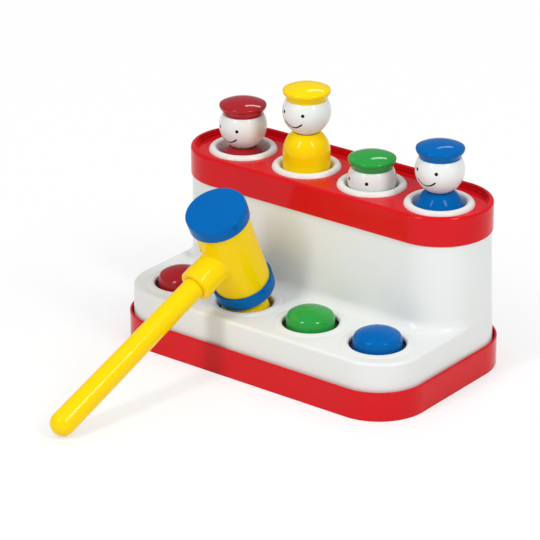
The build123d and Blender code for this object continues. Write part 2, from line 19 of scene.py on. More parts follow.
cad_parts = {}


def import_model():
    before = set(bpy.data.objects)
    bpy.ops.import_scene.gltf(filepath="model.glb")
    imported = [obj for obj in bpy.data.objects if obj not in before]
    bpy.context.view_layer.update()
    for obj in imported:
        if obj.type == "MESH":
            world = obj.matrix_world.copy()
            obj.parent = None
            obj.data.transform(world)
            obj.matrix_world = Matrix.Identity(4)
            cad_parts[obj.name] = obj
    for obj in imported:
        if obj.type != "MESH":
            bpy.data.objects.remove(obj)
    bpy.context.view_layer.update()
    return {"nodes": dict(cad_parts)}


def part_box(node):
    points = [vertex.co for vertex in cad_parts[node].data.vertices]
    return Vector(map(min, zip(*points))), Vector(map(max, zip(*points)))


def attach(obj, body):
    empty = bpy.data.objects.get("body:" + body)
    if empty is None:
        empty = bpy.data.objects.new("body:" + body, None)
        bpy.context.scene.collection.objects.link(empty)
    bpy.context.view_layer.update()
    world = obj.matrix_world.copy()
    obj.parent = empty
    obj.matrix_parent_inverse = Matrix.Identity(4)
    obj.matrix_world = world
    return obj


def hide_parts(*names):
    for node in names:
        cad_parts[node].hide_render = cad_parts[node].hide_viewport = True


LOG = logging.getLogger("peg_people_toy")
MM = 0.001
ROUND_STEPS = 128              # facets round a turned piece
INK_STEPS = 72                 # facets round a line of ink
SMILE_STEPS = 32               # straight pieces along a smile
GATE_STEPS = 32                # facets round the gate mark
EYE_STEPS = 24                 # facets round an eye
ARC_STEPS = 10                 # points along one arc of a section,
RIM_STEPS = 8                  # along a striking cap's rim,
EDGE_STEPS = 6                 # along a rounded edge or an eye,
DIMPLE_STEPS = 5               # across the middle of the gate mark,
NOTCH_STEPS = 4                # along its crest and the dish under a head,
FINE_STEPS = 3                 # and along an edge under a millimetre
WELD = 1e-6                    # metres between points that are merged
SHARP = math.radians(38)       # edges turned more than this stay crisp
AXLE = 0.01                    # radius of the circle that a half section is swept round
CLOUD_OCTAVES = 2.0            # layers of finer detail in the drift of colour,
TOUCH_OCTAVES = 5.0            # in the patches of gloss
RIPPLE_OCTAVES = 3.0           # and in the mould's ripple
TOUCH_FINENESS = 0.6           # weight of each finer layer of the patches
NOISE_SPAN = (0.3, 0.7)        # where nearly all values of a noise lie

Point = tuple[float, float]
Nodes = dict[str, bpy.types.Object]
Rgba = tuple[float, float, float, float]


class Paint(Enum):
    """The four columns of the toy, each with its own colour."""

    RED = "red"
    YELLOW = "yellow"
    GREEN = "green"
    BLUE = "blue"


class Look(Enum):
    """What a finish is made to look like."""

    PLASTIC = "plastic"
    METAL = "metal"


# ------------------------------------------------------------------ finishes
def linear(code: str) -> Rgba:
    """Turn an sRGB hex colour into linear RGBA.

    Args:
        code: six hex digits with a leading #.

    Returns:
        Red, green, blue and an alpha of 1.
    """
    shares = [int(code[i:i + 2], 16) / 255 for i in (1, 3, 5)]
    lit = [s / 12.92 if s <= 0.04045 else ((s + 0.055) / 1.055) ** 2.4 for s in shares]
    return lit[0], lit[1], lit[2], 1.0


def add(tree: bpy.types.NodeTree, kind: str, settings: dict[str, Any] | None = None,
        inputs: dict[Any, Any] | None = None) -> bpy.types.Node:
    """Add one node, with its settings, socket values and links.

    Args:
        tree: the node tree.
        kind: the node's type name.
        settings: properties of the node.
        inputs: value, or output socket to link, by the input's name or number.

    Returns:
        The new node.
    """
    made = tree.nodes.new(kind)
    for name, value in (settings or {}).items():
        setattr(made, name, value)
    for name, value in (inputs or {}).items():
        if isinstance(value, bpy.types.NodeSocket):
            tree.links.new(value, made.inputs[name])
        else:
            made.inputs[name].default_value = value
    return made


@dataclass(frozen=True)
class Finish:
    """One finish of the toy.

    The colour drifts slowly between two close shades, the gloss varies with handling and the
    surface keeps a faint ripple of its mould, each at its own real size in millimetres.
    """

    name: str
    colour: str
    shade: str
    look: Look = Look.PLASTIC
    gloss: float = 0.16            # mean roughness
    gloss_drift: float = 0.04      # how far the roughness strays to either side
    specular: float = 0.2          # strength of the mirror-like reflection, straight on
    cloud: float = 38.0            # size of the slow drift of colour, about a head's width
    touch: float = 9.0             # size of the patches of changing gloss, a fingertip's
    ripple: float = 5.0            # length of the mould's ripple
    ripple_depth: float = 0.003    # height of the ripple

    def material(self) -> bpy.types.Material:
        """Build the material, or fetch it when it is already made.

        Returns:
            The material.
        """
        found = bpy.data.materials.get(self.name)
        if found:
            return found
        made = bpy.data.materials.new(self.name)
        made.use_nodes = True
        tree = made.node_tree
        tree.nodes.clear()
        place = add(tree, "ShaderNodeTexCoord").outputs["Object"]
        cloud = add(tree, "ShaderNodeTexNoise", None,
                    {"Vector": place, "Scale": 1 / (self.cloud * MM), "Detail": CLOUD_OCTAVES})
        colour = add(tree, "ShaderNodeMix", {"data_type": "RGBA"},
                     {"Factor": cloud.outputs["Fac"], 6: linear(self.colour),
                      7: linear(self.shade)})
        touch = add(tree, "ShaderNodeTexNoise", None,
                    {"Vector": place, "Scale": 1 / (self.touch * MM),
                     "Detail": TOUCH_OCTAVES, "Roughness": TOUCH_FINENESS})
        gloss = add(tree, "ShaderNodeMapRange", None,
                    {"Value": touch.outputs["Fac"], "From Min": NOISE_SPAN[0],
                     "From Max": NOISE_SPAN[1], "To Min": self.gloss - self.gloss_drift,
                     "To Max": self.gloss + self.gloss_drift})
        ripple = add(tree, "ShaderNodeTexNoise", None,
                     {"Vector": place, "Scale": 1 / (self.ripple * MM),
                      "Detail": RIPPLE_OCTAVES})
        bump = add(tree, "ShaderNodeBump", None,
                   {"Height": ripple.outputs["Fac"], "Strength": 1.0,
                    "Distance": self.ripple_depth * MM})
        shader = add(tree, "ShaderNodeBsdfPrincipled", None,
                     {"Base Color": colour.outputs[2], "Roughness": gloss.outputs["Result"],
                      "Normal": bump.outputs["Normal"]})
        if self.look is Look.METAL:
            shader.inputs["Metallic"].default_value = 1.0
        else:
            shader.inputs["Specular IOR Level"].default_value = self.specular
        add(tree, "ShaderNodeOutputMaterial", None, {"Surface": shader.outputs["BSDF"]})
        return made


# ABS from a polished mould: an even, deep colour under a clear gloss, whose ripple of a few
# micrometres softens the highlights' outlines. Yellow and blue mirror least, to stay full.
TRAY_RED = Finish("moulded_abs_signal_red", "#DC161F", "#D5121B", gloss=0.10, specular=0.17)
PEG_RED = Finish("moulded_abs_crimson", "#B01F29", "#A81B24", gloss=0.06, gloss_drift=0.02,
                 specular=0.3)
YELLOW = Finish("moulded_abs_yellow", "#FFDB08", "#FFD606", gloss=0.09, gloss_drift=0.02,
                specular=0.15)
GREEN = Finish("moulded_abs_green", "#2BA343", "#269A3D", gloss=0.06, gloss_drift=0.02,
               specular=0.3)
BLUE = Finish("moulded_abs_blue", "#0068B6", "#0062AE", gloss=0.07, gloss_drift=0.02,
              specular=0.08)
# The housing's mould is less polished, so its white has a softer sheen and one calm, even tone.
HOUSING_WHITE = Finish("moulded_satin_white", "#EBEEEC", "#E8EBE9", gloss=0.18, cloud=90.0)
# The collars are a shade warmer and glossier than the housing.
SLEEVE_WHITE = Finish("moulded_abs_white", "#EEF0EC", "#EBEDE9", gloss=0.16)
# The heads are the glossiest white, a clean ground for the print.
HEAD_WHITE = Finish("moulded_abs_face_white", "#EDF0EE", "#EAEEEB", gloss=0.14)
# Unpainted acetal is a milky, slightly yellow white, matt and waxy.
MECHANISM_WHITE = Finish("moulded_acetal_natural", "#E6E4DA", "#DEDCD0", gloss=0.36)
# Zinc plate is a grey metal with a fine, uneven grain, drawn coarser than it is so that it shows.
STEEL = Finish("zinc_plated_steel", "#B4B6B8", "#A3A5A8", look=Look.METAL, gloss=0.30,
               gloss_drift=0.08, cloud=6.0, touch=1.5, ripple=0.8, ripple_depth=0.01)
# Painted shade: the plunger's flange and stem get a near-black, dull finish instead of the
# button's colour, standing in for the shade deep in each hole, so the flange hides in its hole.
PLUNGER_PAINTED_SHADE = Finish("moulded_acetal_black", "#0C0C0D", "#080809", gloss=0.42)
# Pad-printed ink is nearly black, a dull film whose grain is drawn coarser than it is.
FACE_INK = Finish("pad_printed_black_ink", "#08090A", "#050506", gloss=0.40,
                  gloss_drift=0.05, cloud=3.0, touch=1.0, ripple=0.5, ripple_depth=0.003)

PEG_FINISH = {Paint.RED: PEG_RED, Paint.YELLOW: YELLOW, Paint.GREEN: GREEN, Paint.BLUE: BLUE}
PEG_SLOT = {Paint.RED: "peg_red", Paint.YELLOW: "yellow", Paint.GREEN: "green",
            Paint.BLUE: "blue"}
# How far each figure has turned in its collar, and how far its print sits from its usual height,
# both in degrees.
FACE_TURN = {Paint.RED: (-4.5, -3.6), Paint.YELLOW: (0.0, 0.0), Paint.GREEN: (-4.5, 2.0),
             Paint.BLUE: (-1.5, 2.0)}


# ------------------------------------------------------------------ half sections
class Section:
    """Half section of a turned piece, drawn point by point as (radius, height).

    It runs from low to high on the outside, which makes the faces point outwards.
    """

    def __init__(self, *points: Point) -> None:
        """Start with these points."""
        self.points: list[Point] = list(points)

    def to(self, *points: Point) -> "Section":
        """Go on straight through more points."""
        self.points.extend(points)
        return self

    def bend(self, end: Point, heading: Point, steps: int = ARC_STEPS) -> "Section":
        """Go on along an arc that leaves along heading and ends at end.

        Args:
            end: last point of the arc.
            heading: direction in which the arc leaves the last point.
            steps: points to add.

        Returns:
            The section itself.
        """
        self.points.extend(arc(self.points[-1], end, heading, steps))
        return self

    def arrive(self, end: Point, heading: Point, steps: int = ARC_STEPS) -> "Section":
        """Go on along an arc that reaches end while it heads along heading.

        Args:
            end: last point of the arc.
            heading: direction in which the arc reaches it.
            steps: points to add.

        Returns:
            The section itself.
        """
        back = arc(end, self.points[-1], (-heading[0], -heading[1]), steps)
        self.points.extend(back[-2::-1] + [end])
        return self

    def crown(self, base: float, top: float, shoulder: float) -> "Section":
        """Go on from an upright side over a shoulder and a low dome to the axis.

        Args:
            base: height at which the side ends.
            top: height of the dome at the axis.
            shoulder: radius of the rounding between side and dome.

        Returns:
            The section itself.
        """
        radius = self.points[-1][0]
        rise, reach = top - base, radius - shoulder
        big = (reach ** 2 + rise ** 2 - shoulder ** 2) / (2 * (rise - shoulder))
        lean = math.atan2(reach, big - rise)
        joint = (reach + shoulder * math.sin(lean), base + shoulder * math.cos(lean))
        return self.bend(joint, (0, 1)).bend(
            (0, top), (-math.cos(lean), math.sin(lean)), 2 * ARC_STEPS)


def arc(start: Point, end: Point, heading: Point, steps: int) -> list[Point]:
    """Draw an arc that leaves along heading.

    Args:
        start: where it begins.
        end: where it ends.
        heading: direction in which it leaves start.
        steps: how many points it has.

    Returns:
        The points after start, with end as the last.
    """
    first, along = Vector(start), Vector(heading).normalized()
    side, chord = Vector((-along.y, along.x)), Vector(end) - Vector(start)
    centre = first + side * chord.length_squared / (2 * side.dot(chord))
    sweep = 2 * math.atan2(side.dot(chord), along.dot(chord))
    spoke = first - centre
    return [tuple(centre + Matrix.Rotation(sweep * i / steps, 2) @ spoke)
            for i in range(1, steps + 1)]


def wired(section: Section) -> list[Vector]:
    """Turn a half section into the points of the wire that is swept.

    Radii are measured from the sweep's circle, and the sweep takes the wire's Y downwards.

    Args:
        section: the half section, in millimetres.

    Returns:
        The wire's points, in metres.
    """
    return [Vector(((r - AXLE) * MM, -h * MM, 0)) for r, h in reversed(section.points)]


# ------------------------------------------------------------------ recipes
class Recipe:
    """A Geometry Nodes tree with named inputs, and how it is baked to a plain mesh."""

    def __init__(self, name: str, inputs: dict[str, str],
                 build: Callable[[bpy.types.NodeTree, dict[str, Any]], Any]) -> None:
        """Build the tree.

        Args:
            name: the tree's name.
            inputs: socket type of each input beyond the geometry, by name.
            build: adds the nodes between the inputs and the last geometry socket, and
                returns that socket.
        """
        self.tree = bpy.data.node_groups.new(name, "GeometryNodeTree")
        self.tree.is_modifier = True
        face = self.tree.interface
        face.new_socket("Geometry", in_out="INPUT", socket_type="NodeSocketGeometry")
        self.sockets = {key: face.new_socket(key, in_out="INPUT", socket_type=kind).identifier
                        for key, kind in {**inputs, "Material": "NodeSocketMaterial"}.items()}
        face.new_socket("Geometry", in_out="OUTPUT", socket_type="NodeSocketGeometry")
        given = self.tree.nodes.new("NodeGroupInput")
        last = build(self.tree, {s.name: s for s in given.outputs})
        real = add(self.tree, "GeometryNodeRealizeInstances", None, {"Geometry": last})
        dress = add(self.tree, "GeometryNodeSetMaterial", None,
                    {"Geometry": real.outputs["Geometry"],
                     "Material": given.outputs["Material"]})
        add(self.tree, "NodeGroupOutput", None, {"Geometry": dress.outputs["Geometry"]})

    def make(self, name: str, points: list[Vector], closed: bool, finish: Finish,
             **values: Any) -> bpy.types.Object:
        """Run the tree on a wire and keep the result as a plain mesh.

        Args:
            name: name of the piece.
            points: points of the wire, in metres.
            closed: whether the wire closes on itself.
            finish: finish of the piece.
            **values: the tree's inputs, by name.

        Returns:
            The finished object, with its place in its mesh.
        """
        piece = wire(name, points, closed)
        step = piece.modifiers.new("recipe", "NODES")
        step.node_group = self.tree
        step[self.sockets["Material"]] = finish.material()
        for key, value in values.items():
            step[self.sockets[key]] = value
        return settle(piece)


def wire(name: str, points: list[Vector], closed: bool) -> bpy.types.Object:
    """Make an object of plain edges.

    Args:
        name: its name.
        points: points that the edges join, in metres.
        closed: whether the last point is joined to the first.

    Returns:
        The object, linked to the scene.
    """
    edges = [(i, i + 1) for i in range(len(points) - 1)]
    if closed:
        edges.append((len(points) - 1, 0))
    mesh = bpy.data.meshes.new(name)
    mesh.from_pydata(points, edges, [])
    made = bpy.data.objects.new(name, mesh)
    bpy.context.scene.collection.objects.link(made)
    return made


def settle(piece: bpy.types.Object) -> bpy.types.Object:
    """Make an object's evaluated shape its own plain mesh, with crisp edges kept crisp.

    Args:
        piece: the object, with its modifiers still on it.

    Returns:
        The same object, without modifiers.
    """
    seen = piece.evaluated_get(bpy.context.evaluated_depsgraph_get())
    mesh = bpy.data.meshes.new_from_object(seen)
    piece.modifiers.clear()
    piece.data = mesh
    mesh.name = piece.name
    mesh.shade_smooth()
    mesh.set_sharp_from_angle(angle=SHARP)
    return piece


def turned(tree: bpy.types.NodeTree, given: dict[str, Any]) -> Any:
    """Add the nodes that turn a half section about the Z axis.

    The section is swept round a very small circle, so its own radius is measured from there.

    Args:
        tree: the tree to add them to.
        given: the tree's inputs, by name.

    Returns:
        Socket with the turned mesh.
    """
    section = add(tree, "GeometryNodeMeshToCurve", None, {"Mesh": given["Geometry"]})
    path = add(tree, "GeometryNodeCurvePrimitiveCircle", None,
               {"Resolution": given["Facets"], "Radius": AXLE * MM})
    swept = add(tree, "GeometryNodeCurveToMesh", None,
                {"Curve": path.outputs["Curve"], "Profile Curve": section.outputs["Curve"]})
    welded = add(tree, "GeometryNodeMergeByDistance", None,
                 {"Geometry": swept.outputs["Mesh"], "Distance": WELD})
    return welded.outputs["Geometry"]


def turned_row(tree: bpy.types.NodeTree, given: dict[str, Any]) -> Any:
    """Add the nodes that turn a half section and repeat the piece along X.

    Args:
        tree: the tree to add them to.
        given: the tree's inputs, by name.

    Returns:
        Socket with the row's instances.
    """
    step = add(tree, "ShaderNodeCombineXYZ", None, {"X": given["Pitch"]})
    places = add(tree, "GeometryNodeMeshLine", None,
                 {"Count": given["Count"], "Start Location": given["First"],
                  "Offset": step.outputs["Vector"]})
    row = add(tree, "GeometryNodeInstanceOnPoints", None,
              {"Points": places.outputs["Mesh"], "Instance": turned(tree, given)})
    return row.outputs["Instances"]


def inked_line(tree: bpy.types.NodeTree, given: dict[str, Any]) -> Any:
    """Add the nodes that lay a round line of ink along a path, sunk so that a film shows.

    Args:
        tree: the tree to add them to.
        given: the tree's inputs, by name.

    Returns:
        Socket with the line's mesh.
    """
    path = add(tree, "GeometryNodeMeshToCurve", None, {"Mesh": given["Geometry"]})
    ring = add(tree, "GeometryNodeCurvePrimitiveCircle", None,
               {"Resolution": INK_STEPS, "Radius": given["Radius"]})
    line = add(tree, "GeometryNodeCurveToMesh", None,
               {"Curve": path.outputs["Curve"], "Profile Curve": ring.outputs["Curve"],
                "Fill Caps": True})
    return line.outputs["Mesh"]


@dataclass
class Workshop:
    """The recipes that the pieces are made with."""

    def __post_init__(self) -> None:
        """Build each tree once."""
        self.turning = Recipe("turned_piece", {"Facets": "NodeSocketInt"}, turned)
        self.row = Recipe("turned_row", {
            "Facets": "NodeSocketInt", "Count": "NodeSocketInt",
            "First": "NodeSocketVector", "Pitch": "NodeSocketFloat"}, turned_row)
        self.ink = Recipe("inked_line", {"Radius": "NodeSocketFloat"}, inked_line)

    def turn(self, name: str, section: Section, finish: Finish, place: Matrix,
             closed: bool = False, facets: int = ROUND_STEPS) -> bpy.types.Object:
        """Turn a section and set the piece in its place.

        Args:
            name: name of the piece.
            section: its half section.
            finish: its finish.
            place: where the section's origin and axis go, in millimetres.
            closed: whether the section is a ring clear of the axis.
            facets: facets round the piece.

        Returns:
            The finished object.
        """
        piece = self.turning.make(name, wired(section), closed, finish, Facets=facets)
        piece.data.transform(metres(place))
        return piece


def metres(place: Matrix) -> Matrix:
    """A place in millimetres as one in metres."""
    return Matrix.Translation(place.translation * MM) @ place.to_3x3().to_4x4()


def middle(node: str) -> tuple[Vector, Vector, Vector]:
    """Lowest corner, highest corner and middle of a solid, in millimetres."""
    low, high = (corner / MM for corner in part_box(node))
    return low, high, (low + high) / 2


def seat(piece: bpy.types.Object, body: str, slot: str, *nodes: str) -> bpy.types.Object:
    """Let a finished piece ride on its body and stand for its solids.

    Args:
        piece: the finished piece.
        body: the body that it rides on.
        slot: the material slot that its finish belongs to; not used.
        *nodes: the solids that it replaces.

    Returns:
        The piece itself.
    """
    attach(piece, body)
    if nodes:
        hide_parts(*nodes)
    LOG.info("%s rides on %s, %d faces", piece.name, body, len(piece.data.polygons))
    return piece


# ------------------------------------------------------------------ base and mechanism
@dataclass
class Base:
    """Tray, housing, cap and mechanism, whose solids stay and get their real finish."""

    solids: Nodes

    def repaint(self, finish: Finish, *names: str) -> None:
        """Give solids their finish.

        Args:
            finish: the finish.
            *names: the solids' names.
        """
        for name in names:
            for held in self.solids[name].material_slots:
                held.material = finish.material()
            LOG.info("%s: %s", name, finish.name)

    def build(self) -> None:
        """Dress every solid that no finer piece stands for."""
        self.repaint(TRAY_RED, "base_tray", "top_cap")
        self.repaint(HOUSING_WHITE, "housing")
        self.repaint(STEEL, "lever_shaft", "base_screws")
        for paint in Paint:
            self.repaint(MECHANISM_WHITE, f"lever_{paint.value}", f"push_rod_{paint.value}")


# ------------------------------------------------------------------ collars
@dataclass
class GuideCollars:
    """The four white collars that the peg people slide in, one row of equal turned pieces."""

    workshop: Workshop
    deck: float = 137.3            # height of the cap's deck
    lip_radius: float = 28.1
    lip_height: float = 3.2        # crest above the cap's deck
    lip_round: float = 2.6
    mouth_radius: float = 21.7
    mouth_drop: float = 1.5        # from the crest to where the mouth starts to narrow
    funnel_depth: float = 13.0
    bore: float = 19.7
    wall: float = 2.6
    length: float = 41.5           # from the cap's deck to the lower end
    bead: float = 0.7              # snap-in bead under the housing's top
    bead_drop: float = 5.1         # from the cap's deck to the bead
    bead_length: float = 2.0

    def section(self) -> Section:
        """Draw one collar as a closed section.

        Returns:
            The section, with heights from the cap's deck.
        """
        outer = self.bore + self.wall
        crest = (self.lip_radius - self.lip_round + self.mouth_radius + self.mouth_drop) / 2
        drawn = Section((self.bore, -self.length), (outer, -self.length),
                        (outer, -self.bead_drop - self.bead_length),
                        (outer + self.bead, -self.bead_drop - self.bead),
                        (outer + self.bead, -self.bead_drop), (outer, -self.bead_drop),
                        (outer, 0), (self.lip_radius, 0))
        drawn.arrive((crest, self.lip_height), (-1, 0), 2 * ARC_STEPS)
        drawn.bend((self.mouth_radius, self.lip_height - self.mouth_drop), (-1, 0))
        return drawn.to((self.bore, -self.funnel_depth))

    def build(self) -> None:
        """Make the row of collars and set it on the cap's deck."""
        names = [f"guide_sleeve_{paint.value}" for paint in Paint]
        first, last = middle(names[0])[2], middle(names[-1])[2]
        row = self.workshop.row.make(
            "guide_collars", wired(self.section()), True, SLEEVE_WHITE, Facets=ROUND_STEPS,
            Count=len(names), First=tuple(Vector((first.x, first.y, self.deck)) * MM),
            Pitch=(last.x - first.x) / (len(names) - 1) * MM)
        seat(row, "base", "sleeve_white", *names)


# ------------------------------------------------------------------ peg people
@dataclass
class PegPerson:
    """One peg person: a hollow body, a round head with a printed face, and a flat hat.

    Heights are measured from the middle of the head.
    """

    workshop: Workshop
    paint: Paint
    look_aside: float = 0.0        # how far the peg has turned in its collar, degrees
    look_up: float = 0.0           # how far the print sits from its usual height, degrees
    head_radius: float = 19.6
    neck_radius: float = 11.1
    neck: float = -17.5
    plug_radius: float = 6.0
    plug_length: float = 9.0
    body_radius: float = 19.3
    body_wall: float = 2.2
    shoulder_rise: float = 17.2
    body_bottom: float = -89.5
    fit: float = 0.1
    hat_seat: float = 10.2
    seat_edge: float = 0.4         # rounding of the band's lower edge
    band_radius: float = 16.1      # at the seat, from where the band flares up to the crease
    crease_radius: float = 18.0
    crease_height: float = 14.3
    brim_radius: float = 19.3
    brim_height: float = 17.4
    brim_round: float = 1.7
    hat_top: float = 23.2
    hat_plug_radius: float = 5.0
    hat_plug_length: float = 6.0
    hat_plug_gap: float = 0.3
    eye_radius: float = 1.42
    eye_aside: float = 28.0        # degrees to either side of straight ahead
    eye_rise: float = 6.5          # degrees above the head's middle
    smile_aside: float = 26.5
    smile_low: float = -28.0
    smile_rise: float = 13.5
    smile_width: float = 0.62      # half the thickness of the line
    ink_film: float = 0.06         # how far the ink stands proud

    def hat(self) -> Section:
        """Draw the hat: flared band, soft crease, rounded brim and low crown.

        Returns:
            The half section.
        """
        edge = self.seat_edge
        drawn = Section((0, self.hat_seat - self.hat_plug_length),
                        (self.hat_plug_radius, self.hat_seat - self.hat_plug_length),
                        (self.hat_plug_radius, self.hat_seat),
                        (self.band_radius - edge, self.hat_seat))
        drawn.bend((self.band_radius, self.hat_seat + edge), (1, 0), FINE_STEPS)
        drawn.to((self.crease_radius, self.crease_height))
        drawn.arrive((self.brim_radius, self.brim_height), (0, 1), EDGE_STEPS)
        return drawn.crown(self.brim_height, self.hat_top, self.brim_round)

    def head(self) -> Section:
        """Draw the head: a ball with a flat for the hat and a plug for the neck.

        Returns:
            The half section.
        """
        plug, ball = self.plug_radius, self.head_radius
        foot = math.sqrt(ball ** 2 - plug ** 2)
        rim = math.sqrt(ball ** 2 - self.hat_seat ** 2)
        drawn = Section((0, self.neck - self.plug_length), (plug, self.neck - self.plug_length),
                        (plug, -foot))
        drawn.bend((rim, self.hat_seat), (foot, plug), 5 * ARC_STEPS)
        hole, depth = self.hat_plug_radius + self.fit, self.hat_plug_length + self.hat_plug_gap
        return drawn.to((hole, self.hat_seat), (hole, self.hat_seat - depth),
                        (0, self.hat_seat - depth))

    def body(self) -> Section:
        """Draw the hollow body, with its dish and socket for the head.

        Returns:
            The closed section.
        """
        dish = self.head_radius + self.fit
        socket = self.plug_radius + self.fit
        lip = math.sqrt(dish ** 2 - self.neck ** 2)
        base, boss = self.neck - self.shoulder_rise, socket + self.body_wall
        foot, inner = -math.sqrt(dish ** 2 - socket ** 2), self.body_radius - self.body_wall
        drawn = Section((inner, self.body_bottom), (self.body_radius, self.body_bottom),
                        (self.body_radius, base))
        drawn.bend((self.neck_radius, self.neck), (0, 1), 3 * ARC_STEPS).to((lip, self.neck))
        drawn.bend((socket, foot), (self.neck, -lip), NOTCH_STEPS)
        drawn.to((socket, self.neck - self.plug_length), (boss, self.neck - self.plug_length),
                 (boss, self.neck - self.body_wall))
        return drawn.arrive((inner, base), (0, -1), 3 * ARC_STEPS)

    def on_head(self, aside: float, rise: float, proud: float = 0.0) -> Vector:
        """Point on the head, from angles off straight ahead and off level.

        Args:
            aside: degrees towards +X.
            rise: degrees upwards.
            proud: height above the head's surface.

        Returns:
            The point, from the head's middle.
        """
        turn = math.radians(aside + self.look_aside - 90)
        lift = math.radians(rise + self.look_up)
        way = Vector((math.cos(turn) * math.cos(lift), math.sin(turn) * math.cos(lift),
                      math.sin(lift)))
        return way * (self.head_radius + proud)

    def eye(self, name: str, side: int, centre: Vector) -> bpy.types.Object:
        """Make a dot of ink that lies on the head like a lentil.

        Args:
            name: name of the piece.
            side: -1 for the left eye and 1 for the right.
            centre: middle of the head.

        Returns:
            The finished piece.
        """
        spot = self.on_head(side * self.eye_aside, self.eye_rise)
        place = Matrix.Translation(centre + spot) @ spot.to_track_quat("Z", "Y").to_matrix(
            ).to_4x4()
        sink = self.head_radius - math.sqrt(self.head_radius ** 2 - self.eye_radius ** 2)
        drawn = Section((0, -sink - self.ink_film), (self.eye_radius, -sink - self.ink_film),
                        (self.eye_radius, -sink))
        drawn.arrive((0, self.ink_film), (-1, 0), EDGE_STEPS)
        return self.workshop.turn(name, drawn, FACE_INK, place, facets=EYE_STEPS)

    def smile(self, name: str, centre: Vector) -> bpy.types.Object:
        """Make a thin line of ink that follows the head in a shallow bow.

        Args:
            name: name of the piece.
            centre: middle of the head.

        Returns:
            The finished piece.
        """
        steps, film = SMILE_STEPS, self.ink_film
        tube = (self.smile_width ** 2 + film ** 2) / (2 * film)
        points = []
        for i in range(steps + 1):
            share = 2 * i / steps - 1
            rise = self.smile_low + self.smile_rise * share ** 2
            ride = self.on_head(share * self.smile_aside, rise, film - tube)
            points.append((centre + ride) * MM)
        return self.workshop.ink.make(name, points, False, FACE_INK, Radius=tube * MM)

    def build(self) -> None:
        """Make the pieces and set them on the peg's body."""
        colour = self.paint.value
        body, finish, slot = f"peg_{colour}", PEG_FINISH[self.paint], PEG_SLOT[self.paint]
        low, _, mid = middle(f"head_{colour}")
        centre = Vector((mid.x, mid.y, low.z - self.neck + self.plug_length))
        place = Matrix.Translation(centre)
        turn = self.workshop.turn
        seat(turn(f"peg_hat_{colour}", self.hat(), finish, place), body, slot, f"hat_{colour}")
        seat(turn(f"peg_head_{colour}", self.head(), HEAD_WHITE, place), body, "head_white",
             f"head_{colour}")
        seat(turn(f"peg_body_{colour}", self.body(), finish, place, True), body, slot,
             f"body_{colour}")
        for side, word in ((-1, "left"), (1, "right")):
            seat(self.eye(f"eye_{word}_{colour}", side, centre), body, "head_white")
        seat(self.smile(f"smile_{colour}", centre), body, "head_white")


# ------------------------------------------------------------------ buttons
@dataclass
class DomedButton:
    """One domed button in one piece with its flanged plunger and stem.

    Heights are measured from the top of the button's dome.
    """

    workshop: Workshop
    paint: Paint
    radius: float = 19.35
    step: float = 0.3              # fine step between the side and the dome
    step_height: float = 0.2
    wall: float = 2.2
    rise: float = 13.1             # dome above the deck
    rim: float = 4.2               # top of the straight side above the deck
    shoulder: float = 5.0
    flange_radius: float = 24.4
    flange: float = 2.0
    flange_drop: float = 2.8       # top of the flange below the deck
    stem_radius: float = 4.0
    stem_length: float = 28.9      # from the dome's top to the stem's lower end

    def section(self) -> Section:
        """Draw the button with its plunger and stem.

        Returns:
            The half section, with the dome's top at height 0.
        """
        deck = -self.rise
        side = self.radius - self.step
        inner, bottom = side - self.wall, deck - self.flange_drop - self.flange
        hollow = Section((inner, deck + self.rim)).crown(
            deck + self.rim, -self.wall, self.shoulder - self.wall).points
        drawn = Section((0, -self.stem_length), (self.stem_radius, -self.stem_length))
        drawn.to(*[p for p in reversed(hollow) if p[0] > self.stem_radius])
        drawn.to((inner, bottom), (self.flange_radius, bottom),
                 (self.flange_radius, bottom + self.flange), (self.radius, bottom + self.flange),
                 (self.radius, deck + self.rim - self.step_height))
        drawn.bend((side, deck + self.rim), (0, 1), FINE_STEPS)
        return drawn.crown(deck + self.rim, 0, self.shoulder)

    def build(self) -> None:
        """Make the button and set it on its body."""
        name = f"button_{self.paint.value}"
        low, _, mid = middle(name)
        top = low.z + self.stem_length
        piece = self.workshop.turn(f"domed_{name}", self.section(), PEG_FINISH[self.paint],
                                   Matrix.Translation((mid.x, mid.y, top)))
        # The flange and the stem below it take the near-black painted shade of the hole, not the
        # button's own colour.
        piece.data.materials.append(PLUNGER_PAINTED_SHADE.material())
        flange_top = (top - self.rise - self.flange_drop) * MM
        for face in piece.data.polygons:
            if face.center.z < flange_top + WELD:
                face.material_index = 1
        seat(piece, name, PEG_SLOT[self.paint], name)


